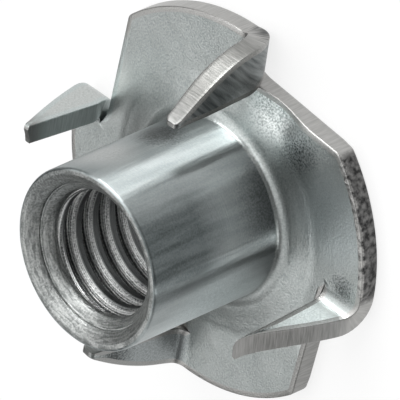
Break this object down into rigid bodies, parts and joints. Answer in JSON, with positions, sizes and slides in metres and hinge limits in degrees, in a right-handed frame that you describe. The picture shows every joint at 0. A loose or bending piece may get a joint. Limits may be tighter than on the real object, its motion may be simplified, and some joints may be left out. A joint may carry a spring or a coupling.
{
  "type": "tee nut",
  "caption": "Pressed steel tee nut: a threaded barrel drawn up from a round flange, with sheared prongs folded up round it to grip a wooden board.",
  "frame": {"origin": "centre of the flange's back face, on the thread's axis", "axes": "+Z along the barrel, from the back of the flange out of the barrel's mouth; +X and +Y lie in the flange, and the prongs fold up near the diagonals"},
  "size_m": [0.022, 0.022, 0.0108],
  "materials": {
    "zinc_plate": "bright zinc plate on steel, semi-gloss, with duller sheared edges"
  },
  "bodies": {
    "root": {"tee_nut": "zinc_plate"}
  },
  "joints": []
}
